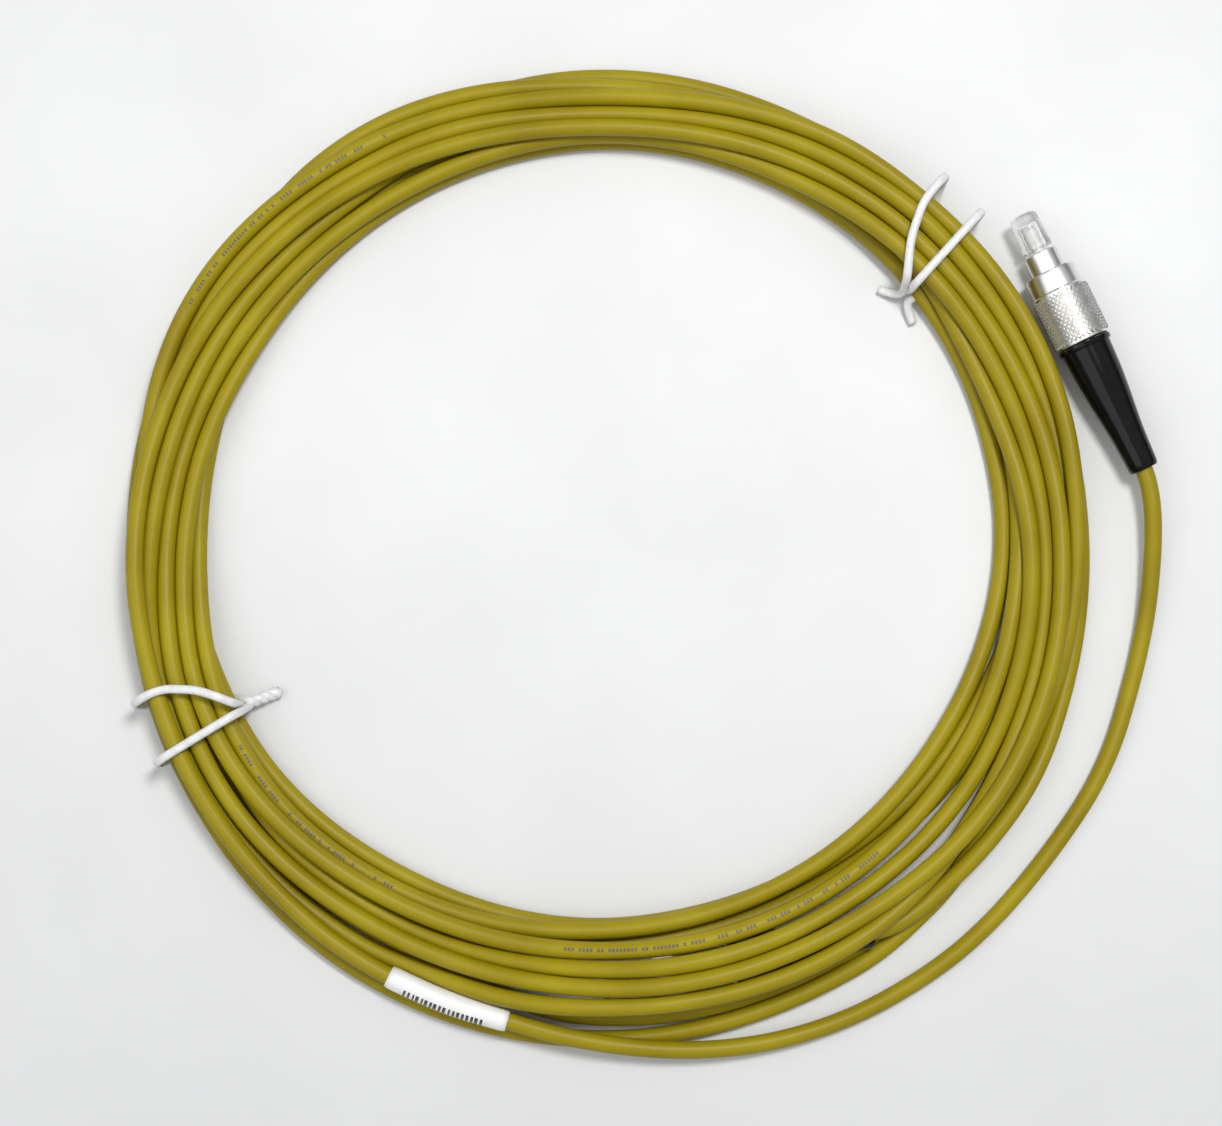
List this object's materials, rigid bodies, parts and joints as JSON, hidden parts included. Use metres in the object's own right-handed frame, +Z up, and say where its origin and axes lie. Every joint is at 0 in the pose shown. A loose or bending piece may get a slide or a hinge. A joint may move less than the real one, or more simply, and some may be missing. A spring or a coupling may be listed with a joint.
{
  "type": "fiber optic patch cord",
  "caption": "Fiber optic patch cord wound in a flat hank held by twist ties, with a screw-on round connector, tapered boot and clear dust cap on each end.",
  "frame": {"origin": "middle of the whole part's footprint, on the surface that the hank lies on", "axes": "+X from the hank's centre towards the side with the free connector, along the longest extent; +Z up, along the shortest extent"},
  "size_m": [0.1787, 0.1706, 0.0132],
  "materials": {
    "jacket": "satin olive-yellow PVC with small grey print marks",
    "label": null,
    "tie_plastic": "white plastic cover of a twist tie",
    "tie_steel": "bare steel wire",
    "nickel_plate": "nickel-plated brass, satin bright",
    "spring_steel": "stainless spring steel",
    "brass": "machined brass",
    "zirconia": "polished white zirconia",
    "aramid": "yellow aramid yarn",
    "buffer": "tight 0.9 mm buffer",
    "fiber_glass": "silica fiber",
    "boot_rubber": "glossy black moulded rubber",
    "cap_clear": "clear soft plastic"
  },
  "bodies": {
    "cord": {"cable_coil": "jacket", "cable_tail": "jacket", "cable_lead": "jacket", "label_sleeve": "label", "tie_cover_right": "tie_plastic", "tie_wire_right": "tie_steel", "tie_cover_left": "tie_plastic", "tie_wire_left": "tie_steel", "front_body_a": "nickel_plate", "back_post_a": "brass", "crimp_ring_a": "nickel_plate", "aramid_yarn_a": "aramid", "boot_a": "boot_rubber", "ferrule_spring_a": "spring_steel", "front_body_b": "nickel_plate", "back_post_b": "brass", "crimp_ring_b": "nickel_plate", "aramid_yarn_b": "aramid", "boot_b": "boot_rubber", "ferrule_spring_b": "spring_steel"},
    "retainer_a": {"nut_ring_a": "spring_steel"},
    "nut_a": {"coupling_nut_a": "nickel_plate"},
    "ferrule_set_a": {"ferrule_a": "zirconia", "ferrule_flange_a": "nickel_plate", "buffered_fiber_a": "buffer", "glass_fiber_a": "fiber_glass"},
    "cap_a": {"dust_cap_a": "cap_clear"},
    "retainer_b": {"nut_ring_b": "spring_steel"},
    "nut_b": {"coupling_nut_b": "nickel_plate"},
    "ferrule_set_b": {"ferrule_b": "zirconia", "ferrule_flange_b": "nickel_plate", "buffered_fiber_b": "buffer", "glass_fiber_b": "fiber_glass"},
    "cap_b": {"dust_cap_b": "cap_clear"}
  },
  "joints": [
    {"name": "nut_slide_a", "type": "slide", "parent": "cord", "child": "retainer_a", "axis": [-0.4226, 0.9063, 0], "range_m": [0, 0.004]},
    {"name": "nut_spin_a", "type": "hinge", "parent": "retainer_a", "child": "nut_a", "pos_m": [0.0759, 0.0368, 0.005], "axis": [-0.4226, 0.9063, 0], "continuous": true},
    {"name": "ferrule_push_a", "type": "slide", "parent": "cord", "child": "ferrule_set_a", "axis": [0.4226, -0.9063, 0], "range_m": [0, 0.0005], "stiffness_N_per_m": 2000, "deforming": ["ferrule_spring_a"]},
    {"name": "cap_pull_a", "type": "slide", "parent": "ferrule_set_a", "child": "cap_a", "axis": [-0.4226, 0.9063, 0], "range_m": [0, 0.006]},
    {"name": "nut_slide_b", "type": "slide", "parent": "cord", "child": "retainer_b", "axis": [-0.9781, -0.2079, 0], "range_m": [0, 0.004]},
    {"name": "nut_spin_b", "type": "hinge", "parent": "retainer_b", "child": "nut_b", "pos_m": [0.0156, -0.0682, 0.005], "axis": [-0.9781, -0.2079, 0], "continuous": true},
    {"name": "ferrule_push_b", "type": "slide", "parent": "cord", "child": "ferrule_set_b", "axis": [0.9781, 0.2079, 0], "range_m": [0, 0.0005], "stiffness_N_per_m": 2000, "deforming": ["ferrule_spring_b"]},
    {"name": "cap_pull_b", "type": "slide", "parent": "ferrule_set_b", "child": "cap_b", "axis": [-0.9781, -0.2079, 0], "range_m": [0, 0.006]}
  ]
}
